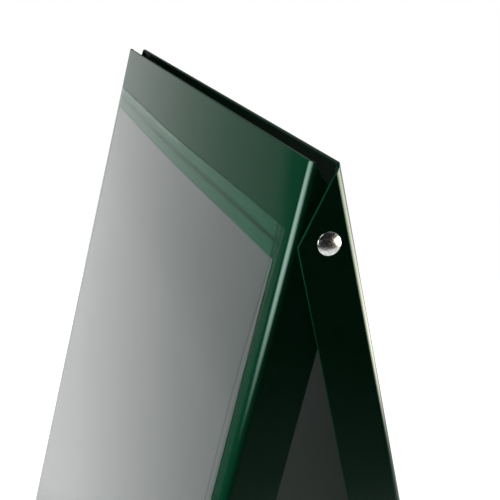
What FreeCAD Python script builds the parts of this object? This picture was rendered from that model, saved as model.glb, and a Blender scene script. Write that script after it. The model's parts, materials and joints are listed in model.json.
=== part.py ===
import FreeCAD, Part
import math
import os

from FreeCAD import Vector

# A folding A-frame poster sign, in millimetres.
# Two folded sheet trays hang from one pivot axis near their tops and stand open on rubber feet.
# X runs along the pivot axis, Y from the front tray to the rear tray, Z up.
# The origin is on the floor, at the centre of the footprint.

# Poster sheet and its margins on a tray's face
POSTER_WIDTH = 594.0
POSTER_HEIGHT = 841.0
POSTER_THICKNESS = 0.3
POSTER_SIDE_MARGIN = 19.0
POSTER_TOP_MARGIN = 67.3
POSTER_BOTTOM_MARGIN = 67.7

# Folded sheet trays
SHEET = 2.5
BEND_INSIDE_RADIUS = 3.5
FRONT_RETURN_DEPTH = 36.5
REAR_RETURN_DEPTH = 36.9
HALF_ANGLE = 13.2

# Cut-back ends of the side returns: each cut leaves the end edge partway round the bend
PLAIN_CUT_TURN = 32.0
PLAIN_CUT_DROP = 5.9
REAR_CUT_END = 43.4
LOWER_CUT_END = 44.0
FRONT_CUT_TURN = 60.0
FRONT_CUT_DROP = 3.8
FRONT_CUT_ANGLE = 43.0

# Pivot place in the trays
FRONT_PIVOT_DEPTH = 23.5
FRONT_PIVOT_DROP = 46.0
REAR_PIVOT_DROP = 46.0
RETURN_GAP = 1.2
NEST_CLEARANCE = 1.9
STOP_CLEARANCE = 0.45

# Cup head bolt, bush, washer and lock nut of one pivot
BOLT_DIAMETER = 6.0
HEAD_DIAMETER = 15.2
HEAD_HEIGHT = 3.6
HEAD_RIM = 0.5
NECK_CLEARANCE = 0.1
BUSH_WALL = 1.0
BUSH_FLANGE_DIAMETER = 15.0
BUSH_SEAT_CLEARANCE = 0.05
BUSH_STAND_OUT = 0.1
RUNNING_CLEARANCE = 0.05
END_PLAY = 0.05
WASHER_DIAMETER = 12.0
WASHER_THICKNESS = 1.6
THREAD_CLEARANCE = 0.04
NUT_ACROSS_FLATS = 10.0
NUT_HEIGHT = 6.0
NUT_COLLAR_DIAMETER = 9.4
NUT_COLLAR_HEIGHT = 1.6
INSERT_WALL = 1.2
INSERT_HEIGHT = 1.9
BOLT_STAND_OUT = 1.6

# Clear cover, its fixing tape and its magnetic hem
FILM_THICKNESS = 0.4
COVER_TOP_MARGIN = 23.9
COVER_SIDE_MARGIN = 9.8
COVER_BOTTOM_MARGIN = 24.0
CREASE_GAP = 0.3
TAPE_THICKNESS = 0.8
TAPE_HEIGHT = 7.8
TAPE_TOP_INSET = 1.8
TAPE_END_INSET = 12.5
TAPE_TO_CREASE = 0.8
MAGNET_HEIGHT = 12.0
MAGNET_EDGE_INSET = 2.0
MAGNET_CLEARANCE = 0.3

# Rubber feet on the trays' bottom edges
FOOT_LENGTH = 70.0
FOOT_WALL = 3.0
FOOT_GRIP = 14.0
FOOT_SOLE = 5.0
FOOT_SIDE_INSET = 25.0

# Sizes that follow from the driving ones
LEAN = math.radians(HALF_ANGLE)
SPREAD = 2 * LEAN
BEND_RADIUS = BEND_INSIDE_RADIUS + SHEET
FRONT_WIDTH = POSTER_WIDTH + 2 * POSTER_SIDE_MARGIN
REAR_WIDTH = FRONT_WIDTH + 2 * (RETURN_GAP + SHEET)
FRONT_LENGTH = POSTER_TOP_MARGIN + POSTER_HEIGHT + POSTER_BOTTOM_MARGIN
REAR_PIVOT_DEPTH = FRONT_RETURN_DEPTH + SHEET + NEST_CLEARANCE - FRONT_PIVOT_DEPTH
PIVOT_OFFSET = FRONT_PIVOT_DEPTH - REAR_PIVOT_DEPTH
REAR_LENGTH = FRONT_LENGTH - FRONT_PIVOT_DROP + REAR_PIVOT_DROP - PIVOT_OFFSET * math.tan(LEAN)
PIVOT_Y = PIVOT_OFFSET / 2 / math.cos(LEAN)
FLOOR_DROP = FRONT_LENGTH + FOOT_SOLE - FRONT_PIVOT_DROP
PIVOT_Z = FLOOR_DROP * math.cos(LEAN) - FRONT_PIVOT_DEPTH * math.sin(LEAN)
SHANK_RADIUS = BOLT_DIAMETER / 2
BUSH_BORE_RADIUS = SHANK_RADIUS + RUNNING_CLEARANCE
BUSH_RADIUS = BUSH_BORE_RADIUS + BUSH_WALL
FILM_FACE = TAPE_THICKNESS + FILM_THICKNESS
COVER_WIDTH = POSTER_WIDTH + 2 * COVER_SIDE_MARGIN
COVER_DROP = POSTER_TOP_MARGIN - COVER_TOP_MARGIN
TAPE_DROP = COVER_DROP + TAPE_TOP_INSET
CREASE_DROP = TAPE_DROP + TAPE_HEIGHT + TAPE_TO_CREASE
COVER_END = POSTER_TOP_MARGIN + POSTER_HEIGHT + COVER_BOTTOM_MARGIN
X_AXIS = Vector(1, 0, 0)
Y_AXIS = Vector(0, 1, 0)
Z_AXIS = Vector(0, 0, 1)
ORIGIN = Vector(0, 0, 0)
BEND_TOOL_LEAD = 8.0
BEND_TOOL_STEPS = 8


# A tray is drawn with its outer face on Y = 0, its inside towards +Y and its top edge on Z = 0.
def lean_front(shape):
    shape.translate(Vector(0, -FRONT_PIVOT_DEPTH, FRONT_PIVOT_DROP))
    shape.rotate(ORIGIN, X_AXIS, -HALF_ANGLE)
    shape.translate(Vector(0, PIVOT_Y, PIVOT_Z))
    return shape


def lean_rear(shape):
    shape = shape.mirror(ORIGIN, Y_AXIS)
    shape.translate(Vector(0, REAR_PIVOT_DEPTH, REAR_PIVOT_DROP))
    shape.rotate(ORIGIN, X_AXIS, HALF_ANGLE)
    shape.translate(Vector(0, PIVOT_Y, PIVOT_Z))
    return shape


LEGS = (("front", lean_front, FRONT_LENGTH), ("rear", lean_rear, REAR_LENGTH))


def slab(width, top_drop, bottom_drop, outside, thickness):
    """A flat sheet centred on the tray, from one drop below the top edge to another."""
    corner = Vector(-width / 2, -outside, -bottom_drop)
    return Part.makeBox(width, thickness, bottom_drop - top_drop, corner)


def prism(outline, x_from, x_to):
    """An outline of (depth, drop) points, carried along X."""
    points = [Vector(x_from, depth, -drop) for depth, drop in outline]
    face = Part.Face(Part.makePolygon(points + points[:1]))
    return face.extrude(Vector(x_to - x_from, 0, 0))


def both_sides(shape):
    return [shape, shape.mirror(ORIGIN, X_AXIS)]


def bend(centre, radius, side):
    """A quarter bend, from the face round to the return on one side."""
    diagonal = radius * math.sqrt(0.5)
    return Part.Arc(
        centre + Vector(0, -radius, 0),
        centre + Vector(side * diagonal, -diagonal, 0),
        centre + Vector(side * radius, 0, 0),
    ).toShape()


def channel(width, length, return_depth):
    """The folded U section of a tray, run down its whole length."""
    half = width / 2
    right = Vector(half - BEND_RADIUS, BEND_RADIUS, 0)
    left = Vector(-right.x, right.y, 0)
    edges = []
    for radius in (BEND_RADIUS, BEND_INSIDE_RADIUS):
        reach = right.x + radius
        face_y = BEND_RADIUS - radius
        edges.append(Part.makeLine(Vector(left.x, face_y, 0), Vector(right.x, face_y, 0)))
        edges.append(bend(right, radius, 1))
        edges.append(bend(left, radius, -1))
        edges.append(Part.makeLine(Vector(reach, right.y, 0), Vector(reach, return_depth, 0)))
        edges.append(Part.makeLine(Vector(-reach, left.y, 0), Vector(-reach, return_depth, 0)))
    for side in (1, -1):
        inner = Vector(side * (half - SHEET), return_depth, 0)
        outer = Vector(side * half, return_depth, 0)
        edges.append(Part.makeLine(inner, outer))
    section = Part.Face(Part.Wire(Part.__sortEdges__(edges)))
    return section.extrude(Vector(0, 0, -length))


def front_cut_line():
    """The front return's slope, ending in the straight stop edge that meets the rear face."""
    into_bend = max(0, BEND_INSIDE_RADIUS - RETURN_GAP)
    bend_rise = BEND_INSIDE_RADIUS - math.sqrt(BEND_INSIDE_RADIUS ** 2 - into_bend ** 2)
    reach = REAR_PIVOT_DEPTH - SHEET - bend_rise - STOP_CLEARANCE
    behind_pivot = FRONT_RETURN_DEPTH - FRONT_PIVOT_DEPTH
    above_pivot = (reach - behind_pivot * math.cos(SPREAD)) / math.sin(SPREAD)
    stop_drop = FRONT_PIVOT_DROP - above_pivot
    stop_slope = 1 / math.tan(SPREAD)
    cut_slope = math.tan(math.radians(FRONT_CUT_ANGLE))
    rise = stop_drop - stop_slope * FRONT_RETURN_DEPTH - FRONT_CUT_DROP + cut_slope * BEND_RADIUS
    knee = rise / (cut_slope - stop_slope)
    return [
        (BEND_RADIUS, FRONT_CUT_DROP),
        (knee, FRONT_CUT_DROP + cut_slope * (knee - BEND_RADIUS)),
        (FRONT_RETURN_DEPTH, stop_drop),
    ]


def bend_tool(width, start_turn, end_drop):
    """A cutter that runs round the bend square to the sheet, falling evenly from the top edge."""
    fall = end_drop / (90 - start_turn)
    first = start_turn - BEND_TOOL_LEAD
    turns = [first + (90 - first) * step / BEND_TOOL_STEPS for step in range(BEND_TOOL_STEPS + 1)]
    rails = []
    for radius in (BEND_INSIDE_RADIUS / 2, BEND_RADIUS + SHEET):
        points = []
        for turn in turns:
            x = width / 2 - BEND_RADIUS + radius * math.sin(math.radians(turn))
            y = BEND_RADIUS - radius * math.cos(math.radians(turn))
            points.append(Vector(x, y, -fall * (turn - start_turn)))
        rail = Part.BSplineCurve()
        rail.interpolate(points)
        rails.append(rail.toShape())
    return Part.makeRuledSurface(*rails).extrude(Vector(0, 0, end_drop + SHEET))


def corner_tools(width, start_turn, cut_line):
    """The two cutters of a return's top corner, one round the bend and one along the return."""
    depth, end_drop = cut_line[-1]
    past = depth + SHEET
    closing = [(past, end_drop), (past, -SHEET), (BEND_RADIUS, -SHEET)]
    along = prism(cut_line + closing, width / 2 - 2 * SHEET, width / 2 + SHEET)
    return [bend_tool(width, start_turn, cut_line[0][1]), along]


def tray(width, length, return_depth, top_tools, hole):
    """A folded tray with both returns cut back at their ends and drilled for the pivot."""
    lower_line = [(BEND_RADIUS, PLAIN_CUT_DROP), (return_depth, LOWER_CUT_END)]
    tools = top_tools + [hole]
    for tool in corner_tools(width, PLAIN_CUT_TURN, lower_line):
        tools.append(tool.mirror(Vector(0, 0, -length / 2), Z_AXIS))
    folded = channel(width, length, return_depth)
    for tool in tools:
        folded = folded.cut(both_sides(tool))
    return folded


def front_tray():
    half = FRONT_WIDTH / 2
    centre = Vector(half - BEND_RADIUS, FRONT_PIVOT_DEPTH, -FRONT_PIVOT_DROP)
    hole = Part.makeCylinder(BUSH_RADIUS + BUSH_SEAT_CLEARANCE, 2 * BEND_RADIUS, centre, X_AXIS)
    top_tools = corner_tools(FRONT_WIDTH, FRONT_CUT_TURN, front_cut_line())
    return lean_front(tray(FRONT_WIDTH, FRONT_LENGTH, FRONT_RETURN_DEPTH, top_tools, hole))


def rear_tray():
    side = BOLT_DIAMETER + 2 * NECK_CLEARANCE
    corner_y = REAR_PIVOT_DEPTH - side / 2
    corner_z = -REAR_PIVOT_DROP - side / 2
    corner = Vector(REAR_WIDTH / 2 - BEND_RADIUS, corner_y, corner_z)
    hole = Part.makeBox(2 * BEND_RADIUS, side, side, corner)
    cut_line = [(BEND_RADIUS, PLAIN_CUT_DROP), (REAR_RETURN_DEPTH, REAR_CUT_END)]
    top_tools = corner_tools(REAR_WIDTH, PLAIN_CUT_TURN, cut_line)
    return lean_rear(tray(REAR_WIDTH, REAR_LENGTH, REAR_RETURN_DEPTH, top_tools, hole))


# The pivot's pieces are drawn on the X axis, on the right-hand side of the sign.
def disc(radius, x_from, x_to):
    return Part.makeCylinder(radius, x_to - x_from, Vector(x_from, 0, 0), X_AXIS)


def ring(outer_radius, inner_radius, x_from, x_to):
    return disc(outer_radius, x_from, x_to).cut(disc(inner_radius, x_from, x_to))


REAR_OUTSIDE = REAR_WIDTH / 2
REAR_INSIDE = REAR_OUTSIDE - SHEET
FRONT_OUTSIDE = FRONT_WIDTH / 2
BUSH_INNER_END = FRONT_OUTSIDE - SHEET - BUSH_STAND_OUT
WASHER_OUTER_FACE = BUSH_INNER_END - END_PLAY
NUT_SEAT = WASHER_OUTER_FACE - WASHER_THICKNESS
NUT_END = NUT_SEAT - NUT_HEIGHT
BOLT_END = NUT_END - BOLT_STAND_OUT


def pivot_bolt():
    """A cup head bolt with a short square neck that stops it turning in the rear return."""
    head_radius = HEAD_DIAMETER / 2
    dome_height = HEAD_HEIGHT - HEAD_RIM
    dome_radius = (head_radius ** 2 + dome_height ** 2) / (2 * dome_height)
    dome_centre = Vector(REAR_OUTSIDE + HEAD_HEIGHT - dome_radius, 0, 0)
    head = disc(head_radius, REAR_OUTSIDE, REAR_OUTSIDE + HEAD_HEIGHT)
    head = head.common(Part.makeSphere(dome_radius, dome_centre))
    corner = Vector(REAR_INSIDE, -SHANK_RADIUS, -SHANK_RADIUS)
    neck = Part.makeBox(SHEET, BOLT_DIAMETER, BOLT_DIAMETER, corner)
    shank = disc(SHANK_RADIUS, BOLT_END, REAR_INSIDE)
    return head.fuse([neck, shank]).removeSplitter()


def pivot_bush():
    """A flanged plastic bush: barrel in the front return, flange between the two returns."""
    flange_face = REAR_INSIDE - END_PLAY
    flange = disc(BUSH_FLANGE_DIAMETER / 2, FRONT_OUTSIDE, flange_face)
    barrel = disc(BUSH_RADIUS, BUSH_INNER_END, FRONT_OUTSIDE)
    bore = disc(BUSH_BORE_RADIUS, BUSH_INNER_END, flange_face)
    return flange.fuse(barrel).cut(bore).removeSplitter()


def pivot_washer():
    return ring(WASHER_DIAMETER / 2, BUSH_BORE_RADIUS, NUT_SEAT, WASHER_OUTER_FACE)


def insert_radius():
    return SHANK_RADIUS + THREAD_CLEARANCE + INSERT_WALL


def lock_nut():
    """A hexagon nut whose round collar holds a plastic locking ring."""
    corner_radius = NUT_ACROSS_FLATS / math.sqrt(3)
    angles = [math.radians(60 * step) for step in range(7)]
    hexagon_end = NUT_END + NUT_COLLAR_HEIGHT
    corners = [
        Vector(hexagon_end, corner_radius * math.cos(angle), corner_radius * math.sin(angle))
        for angle in angles
    ]
    hexagon = Part.Face(Part.makePolygon(corners)).extrude(Vector(NUT_SEAT - hexagon_end, 0, 0))
    collar = disc(NUT_COLLAR_DIAMETER / 2, NUT_END, hexagon_end)
    thread = disc(SHANK_RADIUS + THREAD_CLEARANCE, NUT_END, NUT_SEAT)
    pocket = disc(insert_radius(), NUT_END, NUT_END + INSERT_HEIGHT)
    return hexagon.fuse(collar).cut([thread, pocket]).removeSplitter()


def nut_insert():
    bore = SHANK_RADIUS + THREAD_CLEARANCE
    return ring(insert_radius(), bore, NUT_END, NUT_END + INSERT_HEIGHT)


def pivot_pieces():
    """The pieces of both pivots, turned to sit square with the tray that holds them."""
    pieces = {
        "pivot_bolt": (pivot_bolt(), HALF_ANGLE),
        "pivot_bush": (pivot_bush(), -HALF_ANGLE),
        "pivot_washer": (pivot_washer(), HALF_ANGLE),
        "lock_nut": (lock_nut(), HALF_ANGLE),
        "nut_insert": (nut_insert(), HALF_ANGLE),
    }
    nodes = {}
    for name, (shape, lean) in pieces.items():
        shape.rotate(ORIGIN, X_AXIS, lean)
        for side, piece in zip(("right", "left"), both_sides(shape)):
            piece.translate(Vector(0, PIVOT_Y, PIVOT_Z))
            nodes[f"{name}_{side}"] = piece
    return nodes


def foot(length):
    """A rubber grip pushed on a bottom edge, its sole level with the floor when the sign is open."""
    inner = SHEET + FOOT_WALL
    top = length - FOOT_GRIP
    floor = length + FOOT_SOLE
    outline = [
        (-FOOT_WALL, top),
        (0, top),
        (0, length),
        (SHEET, length),
        (SHEET, top),
        (inner, top),
        (inner, floor - inner * math.tan(LEAN)),
        (-FOOT_WALL, floor + FOOT_WALL * math.tan(LEAN)),
    ]
    end = FRONT_WIDTH / 2 - FOOT_SIDE_INSET
    return prism(outline, end - FOOT_LENGTH, end)


def cover_pieces():
    """The poster, the clear cover in two leaves about its crease, its tape and its magnetic hem."""
    poster_end = POSTER_TOP_MARGIN + POSTER_HEIGHT
    tape_end = TAPE_DROP + TAPE_HEIGHT
    header_end = CREASE_DROP - CREASE_GAP / 2
    flap_start = CREASE_DROP + CREASE_GAP / 2
    hem_end = COVER_END - MAGNET_EDGE_INSET
    hem_start = hem_end - MAGNET_HEIGHT
    hem_width = COVER_WIDTH - 2 * MAGNET_EDGE_INSET
    hem_thickness = TAPE_THICKNESS - MAGNET_CLEARANCE
    tape_width = COVER_WIDTH - 2 * TAPE_END_INSET
    return {
        "poster": slab(POSTER_WIDTH, POSTER_TOP_MARGIN, poster_end, POSTER_THICKNESS, POSTER_THICKNESS),
        "cover_tape": slab(tape_width, TAPE_DROP, tape_end, TAPE_THICKNESS, TAPE_THICKNESS),
        "cover_header": slab(COVER_WIDTH, COVER_DROP, header_end, FILM_FACE, FILM_THICKNESS),
        "cover_flap": slab(COVER_WIDTH, flap_start, COVER_END, FILM_FACE, FILM_THICKNESS),
        "magnet_strip": slab(hem_width, hem_start, hem_end, TAPE_THICKNESS, hem_thickness),
    }


def build():
    nodes = {"front_panel": front_tray(), "rear_panel": rear_tray()}
    nodes.update(pivot_pieces())
    for end, lean, length in LEGS:
        for name, shape in cover_pieces().items():
            nodes[f"{end}_{name}"] = lean(shape)
        for side, shape in zip(("right", "left"), both_sides(foot(length))):
            nodes[f"{end}_foot_{side}"] = lean(shape)
    return nodes


def report_axes():
    """Print the pivot and crease axes and the soles' centres."""
    print(f"pivot y {PIVOT_Y:.4f} z {PIVOT_Z:.4f}")
    for end, lean, length in LEGS:
        sole_drop = length + FOOT_SOLE - SHEET / 2 * math.tan(LEAN)
        marks = {"crease": (-FILM_FACE, CREASE_DROP), "sole": (SHEET / 2, sole_drop)}
        for name, (depth, drop) in marks.items():
            point = lean(Part.Vertex(0, depth, -drop)).Point
            print(f"{end} {name} y {point.y:.4f} z {point.z:.4f}")


os.makedirs("parts", exist_ok=True)
for node, solid in build().items():
    solid.exportStep(os.path.join("parts", f"{node}.step"))
    print(f"{node}: {len(solid.Solids)} solid, {solid.Volume:.1f} mm3, valid {solid.isValid()}")
report_axes()
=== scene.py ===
# %% [markdown]
# # A folding A-frame sign
# Two folded sheet-metal trays hang from one pivot axis and stand open like a tent. Each carries a blank
# poster under a clear cover. This lesson dresses the measured solids of the sign: the trays, sheets and bolts
# are modelled with Blender's own tools, and every piece is given a finish made from shader nodes.

# %% Load the measured sign
import json
import math

import bmesh
import bpy
from mathutils import Matrix, Vector

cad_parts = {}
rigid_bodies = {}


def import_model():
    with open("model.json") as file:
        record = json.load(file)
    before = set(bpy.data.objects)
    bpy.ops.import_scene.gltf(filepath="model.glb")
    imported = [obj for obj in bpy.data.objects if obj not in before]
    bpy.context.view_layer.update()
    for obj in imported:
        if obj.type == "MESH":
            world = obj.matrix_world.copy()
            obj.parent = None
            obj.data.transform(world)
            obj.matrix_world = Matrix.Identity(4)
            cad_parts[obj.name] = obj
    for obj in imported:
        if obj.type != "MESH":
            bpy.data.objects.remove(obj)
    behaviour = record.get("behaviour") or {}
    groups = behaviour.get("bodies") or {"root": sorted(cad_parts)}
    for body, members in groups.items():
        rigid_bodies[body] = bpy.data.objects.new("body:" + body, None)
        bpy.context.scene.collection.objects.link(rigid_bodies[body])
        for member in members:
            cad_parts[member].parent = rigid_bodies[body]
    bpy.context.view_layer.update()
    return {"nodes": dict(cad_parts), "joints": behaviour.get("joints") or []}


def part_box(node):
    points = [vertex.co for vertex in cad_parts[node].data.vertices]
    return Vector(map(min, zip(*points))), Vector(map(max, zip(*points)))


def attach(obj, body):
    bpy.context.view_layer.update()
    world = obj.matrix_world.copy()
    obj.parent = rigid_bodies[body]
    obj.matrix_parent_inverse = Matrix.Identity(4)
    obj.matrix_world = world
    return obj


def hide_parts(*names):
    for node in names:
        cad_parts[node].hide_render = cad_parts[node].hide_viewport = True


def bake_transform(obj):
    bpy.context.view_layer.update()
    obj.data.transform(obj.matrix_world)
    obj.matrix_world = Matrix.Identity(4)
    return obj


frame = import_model()
nodes = frame["nodes"]
joints = {joint["name"]: joint for joint in frame["joints"]}
print(f"{len(nodes)} solids, {len(joints)} joints")

# %% [markdown]
# ## Sizes
# All lengths are in metres. The pivot axis and the opening angle come from the fold joint, widths come from
# the solids' boxes, and the few sheet-metal sizes that a box can't tell are written here by name.

# %% Sizes of the sheet, its bends and the pivot
MM = 0.001
SHEET = 2.5 * MM
BEND_RADIUS = 6.0 * MM
PIVOT = Vector(joints["fold"]["pos_m"])
LEAN = math.radians(joints["fold"]["range_deg"][1]) / 2
SPREAD = 2 * LEAN
FOOT_SOLE = 5.0 * MM


class Leg:
    """One tray's measures: its return's depth, where it holds the pivot, and how it leans."""

    def __init__(self, end, return_depth, pivot_depth, pivot_drop, turn):
        low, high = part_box(f"{end}_panel")
        self.end = end
        self.body = f"{end}_leg"
        self.flap = f"{end}_flap"
        self.width = high.x - low.x
        self.return_depth = return_depth
        self.pivot_depth = pivot_depth
        self.pivot_drop = pivot_drop
        floor_drop = (PIVOT.z + pivot_depth * math.sin(LEAN)) / math.cos(LEAN)
        self.length = floor_drop + pivot_drop - FOOT_SOLE
        lean = Matrix.Rotation(LEAN if turn else -LEAN, 4, "X")
        about = Matrix.Rotation(math.pi if turn else 0, 4, "Z")
        self.place = Matrix.Translation(PIVOT) @ lean @ about
        self.place = self.place @ Matrix.Translation((0, -pivot_depth, pivot_drop))

    def at(self, x, depth, drop):
        """A point on this leg, from its depth behind the face and its drop below the top edge."""
        return self.place @ Vector((x, depth, -drop))


front = Leg("front", 36.5 * MM, 23.5 * MM, 46.0 * MM, turn=False)
rear = Leg("rear", 36.9 * MM, 17.4 * MM, 46.0 * MM, turn=True)
LEGS = (front, rear)
for leg in LEGS:
    print(f"{leg.end} tray: {leg.width:.4f} m wide, {leg.length:.4f} m down the slope")

# %% [markdown]
# ## Small helpers
# Blender's operators act on whatever is selected, so each helper starts from a clean selection. Faces and
# edges are then picked by where they lie, the way one would box-select them by hand.

# %% Helpers for selecting, finishing and placing a piece
def start_clean():
    bpy.ops.object.select_all(action="DESELECT")


def take(piece):
    """Select one piece alone, so that the next operator acts on it."""
    start_clean()
    piece.select_set(True)
    bpy.context.view_layer.objects.active = piece


def newest(name):
    piece = bpy.context.object
    piece.name = name
    piece.data.name = name
    return piece


def settle(piece):
    """Apply the object's place, turn and scale to its mesh."""
    take(piece)
    bpy.ops.object.transform_apply(location=True, rotation=True, scale=True)


def edit(piece, kind="FACE"):
    take(piece)
    bpy.ops.object.mode_set(mode="EDIT")
    bpy.ops.mesh.select_mode(type=kind)
    bpy.ops.mesh.select_all(action="DESELECT")


def done():
    bpy.ops.object.mode_set(mode="OBJECT")


def face_outward(piece):
    """Turn all faces of a closed or open skin to the same, outer side."""
    edit(piece)
    bpy.ops.mesh.select_all(action="SELECT")
    bpy.ops.mesh.normals_make_consistent(inside=False)
    done()


def pick(piece, kind, test):
    """Select the faces, edges or verts whose middle passes the test."""
    bpy.ops.mesh.select_mode(type=kind)
    bpy.ops.mesh.select_all(action="DESELECT")
    mesh = bmesh.from_edit_mesh(piece.data)
    parts = {"VERT": mesh.verts, "EDGE": mesh.edges, "FACE": mesh.faces}[kind]
    for part in parts:
        corners = [part] if kind == "VERT" else part.verts
        middle = sum((corner.co for corner in corners), Vector()) / len(corners)
        part.select_set(test(middle))
    mesh.select_flush_mode()
    bmesh.update_edit_mesh(piece.data)


def modify(piece, kind, **settings):
    """Add one modifier, set it and apply it."""
    take(piece)
    modifier = piece.modifiers.new(kind.title(), kind)
    for name, value in settings.items():
        setattr(modifier, name, value)
    bpy.ops.object.modifier_apply(modifier=modifier.name)


def smooth(piece, angle=30):
    """Round shading that keeps flat faces flat and real edges crisp."""
    take(piece)
    bpy.ops.object.shade_smooth_by_angle(angle=math.radians(angle))
    modify(piece, "WEIGHTED_NORMAL", keep_sharp=True)


def seat(piece, leg):
    """Carry a piece from the flat drawing position to its place on a leaning tray."""
    piece.matrix_world = leg.place @ piece.matrix_world
    settle(piece)


def dress(piece, look):
    piece.data.materials.clear()
    piece.data.materials.append(look)


def finish(piece, look, body, slot, *stands_for):
    """Give a piece its material, the body it rides on and the solids that it stands for. The slot is not
    used.
    """
    dress(piece, look)
    if body:
        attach(piece, body)
    if stands_for:
        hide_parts(*stands_for)
    print(f"{piece.name}: {len(piece.data.polygons)} faces")


# %% [markdown]
# ## Shared shader groups
# Real finishes are never one flat value. Two effects come back in several materials here: a fine grain, such
# as the orange peel of powder coat or the tooth of rubber, and the faint smudges that handling leaves. Each
# is built once as a node group and placed in the materials with its own values.

# %% Helpers for node trees
def link(tree, source, target):
    tree.links.new(source, target)


def node(tree, kind, **settings):
    made = tree.nodes.new(kind)
    for name, value in settings.items():
        setattr(made, name, value)
    return made


def noise(tree, vector, scale, detail, roughness=0.5):
    made = node(tree, "ShaderNodeTexNoise")
    made.inputs["Detail"].default_value = detail
    made.inputs["Roughness"].default_value = roughness
    link(tree, scale, made.inputs["Scale"])
    link(tree, vector, made.inputs["Vector"])
    return made.outputs["Fac"]


def ramp(tree, value, low, high):
    """Spread a narrow band of values over the whole range from 0 to 1."""
    made = node(tree, "ShaderNodeMapRange", clamp=True)
    made.inputs["From Min"].default_value = low
    made.inputs["From Max"].default_value = high
    link(tree, value, made.inputs["Value"])
    return made.outputs["Result"]


def new_group(name, inputs, outputs):
    """An empty node group with named inputs and outputs, and the place on the piece to start from."""
    group = bpy.data.node_groups.new(name, "ShaderNodeTree")
    for label, value in inputs.items():
        socket = group.interface.new_socket(label, in_out="INPUT", socket_type="NodeSocketFloat")
        socket.default_value = value
    for label in outputs:
        group.interface.new_socket(label, in_out="OUTPUT", socket_type="NodeSocketFloat")
    entry = group.nodes.new("NodeGroupInput")
    leave = group.nodes.new("NodeGroupOutput")
    place = group.nodes.new("ShaderNodeTexCoord").outputs["Object"]
    return group, entry, leave, place


# %% The fine grain group
grain_group, entry, leave, place = new_group(
    "fine_grain", {"Grain per metre": 900.0, "Cloud per metre": 6.0}, ("Height", "Cloud")
)
peel = noise(grain_group, place, entry.outputs["Grain per metre"], detail=3.0)
cloud = noise(grain_group, place, entry.outputs["Cloud per metre"], detail=4.0, roughness=0.6)
link(grain_group, peel, leave.inputs["Height"])
link(grain_group, ramp(grain_group, cloud, low=0.3, high=0.7), leave.inputs["Cloud"])
print("group", grain_group.name)

# %% The handling marks group
marks_group, entry, leave, place = new_group("handling_marks", {"Smudges per metre": 14.0}, ("Smudge",))
patches = noise(marks_group, place, entry.outputs["Smudges per metre"], detail=3.0)
link(marks_group, ramp(marks_group, patches, low=0.5, high=0.75), leave.inputs["Smudge"])
print("group", marks_group.name)

# %% [markdown]
# ## Materials
# Every material starts from the Principled shader. Values that are the same all over a surface are typed
# straight into its sockets. What changes over the surface comes from the two groups: a colour that drifts a
# little, a roughness that follows smudges, and a bump from the grain.

# %% A material builder
def tint(tree, value, dark, light):
    """A colour that drifts between two tones."""
    made = node(tree, "ShaderNodeMix", data_type="RGBA")
    link(tree, value, made.inputs["Factor"])
    made.inputs["A"].default_value = (*dark, 1.0)
    made.inputs["B"].default_value = (*light, 1.0)
    return made.outputs["Result"]


def spread(tree, value, low, high):
    """A number that moves between two limits."""
    made = node(tree, "ShaderNodeMapRange")
    made.inputs["To Min"].default_value = low
    made.inputs["To Max"].default_value = high
    link(tree, value, made.inputs["Value"])
    return made.outputs["Result"]


def material(name, dark, light, rough, grain, cloud, bump_height, smudges=14.0, **plain):
    """A Principled finish with drifting colour, smudged roughness and a fine grain in its bump."""
    made = bpy.data.materials.new(name)
    made.use_nodes = True
    tree = made.node_tree
    shader = tree.nodes["Principled BSDF"]
    texture = node(tree, "ShaderNodeGroup", node_tree=grain_group)
    texture.inputs["Grain per metre"].default_value = grain
    texture.inputs["Cloud per metre"].default_value = cloud
    wear = node(tree, "ShaderNodeGroup", node_tree=marks_group)
    wear.inputs["Smudges per metre"].default_value = smudges
    link(tree, tint(tree, texture.outputs["Cloud"], dark, light), shader.inputs["Base Color"])
    link(tree, spread(tree, wear.outputs["Smudge"], *rough), shader.inputs["Roughness"])
    bump = node(tree, "ShaderNodeBump")
    bump.inputs["Strength"].default_value = 1.0
    bump.inputs["Distance"].default_value = bump_height
    link(tree, texture.outputs["Height"], bump.inputs["Height"])
    link(tree, bump.outputs["Normal"], shader.inputs["Normal"])
    for socket, value in plain.items():
        shader.inputs[socket.replace("_", " ")].default_value = value
    return made


# %% [markdown]
# The trays wear a deep green powder coat. It is glossy, with the faint orange peel that powder leaves when it
# flows in the oven, so its bump is a grain of about a millimetre and only a few microns high.

# %% Green powder coat, cut edges included
green_coat = material(
    "green_powder_coat",
    dark=(0.0022, 0.046, 0.0195),
    light=(0.0034, 0.054, 0.0245),
    rough=(0.03, 0.05),
    grain=700.0,
    cloud=9.0,
    bump_height=1e-6,
    IOR=1.5,
    Specular_Tint=(0.68, 1.0, 0.88, 1.0),
)
FULL_GLOSS = 0.5
INSIDE_GLOSS = 0.11
EDGE_GLOSS = 0.03
DULL_ROUGHNESS = 0.55


def read_gloss(made):
    """Powder lies thin on cut edges and inside a tray. The mesh carries a gloss mark that says where."""
    tree = made.node_tree
    shader = tree.nodes["Principled BSDF"]
    gloss = node(tree, "ShaderNodeAttribute", attribute_name="gloss").outputs["Fac"]
    dull = node(tree, "ShaderNodeMapRange", clamp=True)
    dull.inputs["From Min"].default_value = FULL_GLOSS
    dull.inputs["From Max"].default_value = INSIDE_GLOSS
    dull.inputs["To Max"].default_value = DULL_ROUGHNESS
    link(tree, gloss, dull.inputs["Value"])
    rough = node(tree, "ShaderNodeMath", operation="MAXIMUM")
    link(tree, shader.inputs["Roughness"].links[0].from_socket, rough.inputs[0])
    link(tree, dull.outputs["Result"], rough.inputs[1])
    link(tree, rough.outputs["Value"], shader.inputs["Roughness"])
    link(tree, gloss, shader.inputs["Specular IOR Level"])


read_gloss(green_coat)

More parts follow.
